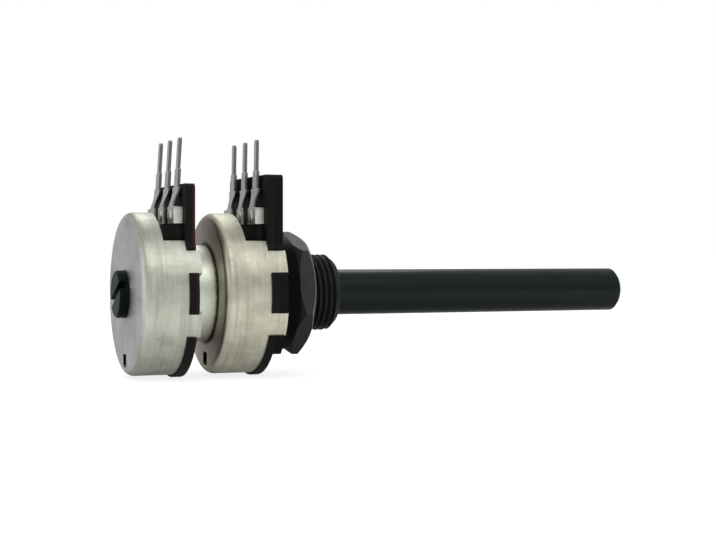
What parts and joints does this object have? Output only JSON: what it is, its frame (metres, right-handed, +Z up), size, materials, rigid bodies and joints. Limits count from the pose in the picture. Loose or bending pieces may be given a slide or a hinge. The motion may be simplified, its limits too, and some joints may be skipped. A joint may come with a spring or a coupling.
{
  "type": "rotary potentiometer",
  "caption": "Tandem rotary potentiometer with a long plain spindle, threaded mounting bush with nut, drawn metal covers and upright solder pins.",
  "frame": {"origin": "on the spindle's axis, at the face of the bush's boss that seats against a panel", "axes": "+X along the spindle towards its free end, +Z up along the solder pins"},
  "size_m": [0.0721, 0.0212, 0.0301],
  "materials": {
    "spindle_plastic": "satin",
    "bush_plastic": "satin",
    "nut_plastic": "satin",
    "front_laminate": "matte",
    "rear_laminate": "matte",
    "carbon_film": "satin",
    "insulating_bar": "matte",
    "tinned_brass": "satin",
    "rotor_plastic": "gloss",
    "spring_bronze": "satin",
    "tinplate": "satin"
  },
  "bodies": {
    "housing": {"bush_housing": "bush_plastic", "front_track_board": "front_laminate", "front_resistive_track": "carbon_film", "front_collector_ring": "tinned_brass", "front_terminal_bar": "insulating_bar", "front_start_terminal": "tinned_brass", "front_wiper_terminal": "tinned_brass", "front_end_terminal": "tinned_brass", "front_terminal_rivets": "tinned_brass", "front_cover": "tinplate", "rear_track_board": "rear_laminate", "rear_resistive_track": "carbon_film", "rear_collector_ring": "tinned_brass", "rear_terminal_bar": "insulating_bar", "rear_start_terminal": "tinned_brass", "rear_wiper_terminal": "tinned_brass", "rear_end_terminal": "tinned_brass", "rear_terminal_rivets": "tinned_brass", "rear_cover": "tinplate"},
    "spindle_assembly": {"spindle": "spindle_plastic", "front_rotor": "rotor_plastic", "front_wiper_spring": "spring_bronze", "rear_rotor": "rotor_plastic", "rear_wiper_spring": "spring_bronze"},
    "nut": {"mounting_nut": "nut_plastic"}
  },
  "joints": [
    {"name": "spindle_turn", "type": "hinge", "parent": "housing", "child": "spindle_assembly", "pos_m": [0, 0, 0], "axis": [1, 0, 0], "range_deg": [-150, 150]},
    {"name": "nut_travel", "type": "slide", "parent": "housing", "child": "nut", "axis": [1, 0, 0], "range_m": [0, 0.0043]}
  ]
}
